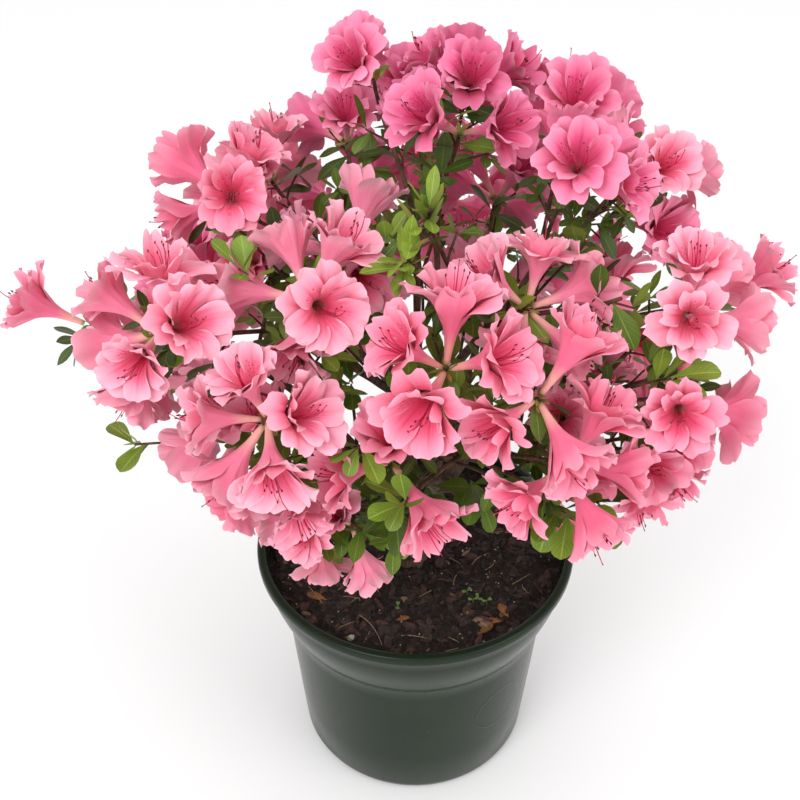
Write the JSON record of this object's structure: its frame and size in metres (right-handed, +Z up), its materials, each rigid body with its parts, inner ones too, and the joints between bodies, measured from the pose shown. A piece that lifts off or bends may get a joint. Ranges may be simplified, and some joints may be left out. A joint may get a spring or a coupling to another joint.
{
  "type": "potted azalea shrub",
  "caption": "Azalea shrub in full pink flower on a short branching trunk, standing in a round plastic nursery pot filled with potting mix.",
  "frame": {"origin": "middle of the pot's flat underside, on the surface that it stands on", "axes": "+Z up along the pot, -Y towards the side that faces the viewer, +X to the viewer's right"},
  "size_m": [0.4571, 0.3707, 0.5119],
  "materials": {
    "pot_plastic": "moulded dark green plastic, slightly scuffed gloss",
    "potting_mix": "damp dark brown bark and peat with pale specks",
    "bark": "thin rough grey-brown bark",
    "blossom": "soft matt petals, coral to rose pink",
    "foliage": "semi-gloss mid green leaves, yellow-green at the new shoots"
  },
  "bodies": {
    "root": {"pot": "pot_plastic", "potting_mix": "potting_mix", "trunk": "bark", "main_bough_left": "bark", "main_bough_back": "bark", "main_bough_right": "bark", "main_bough_front": "bark", "main_bough_middle": "bark", "bough_left": "bark", "bough_low_left": "bark", "bough_left_front": "bark", "bough_low_tuft": "bark", "bough_back": "bark", "bough_back_left": "bark", "bough_top_back": "bark", "bough_right": "bark", "bough_low_right": "bark", "bough_back_right": "bark", "bough_right_front": "bark", "bough_front": "bark", "bough_low_front": "bark", "bough_front_high": "bark", "bough_crown": "bark", "bough_top_left": "bark", "bough_top_right": "bark", "bough_left_high": "bark", "crown": "blossom", "top_left": "blossom", "top_back": "blossom", "top_right": "blossom", "front_high": "blossom", "left_high": "blossom", "left": "blossom", "back_left": "blossom", "back": "blossom", "back_right": "blossom", "right": "blossom", "right_front": "blossom", "front": "blossom", "left_front": "blossom", "low_left": "blossom", "low_right": "blossom", "low_front": "blossom", "low_tuft": "blossom"}
  },
  "joints": []
}
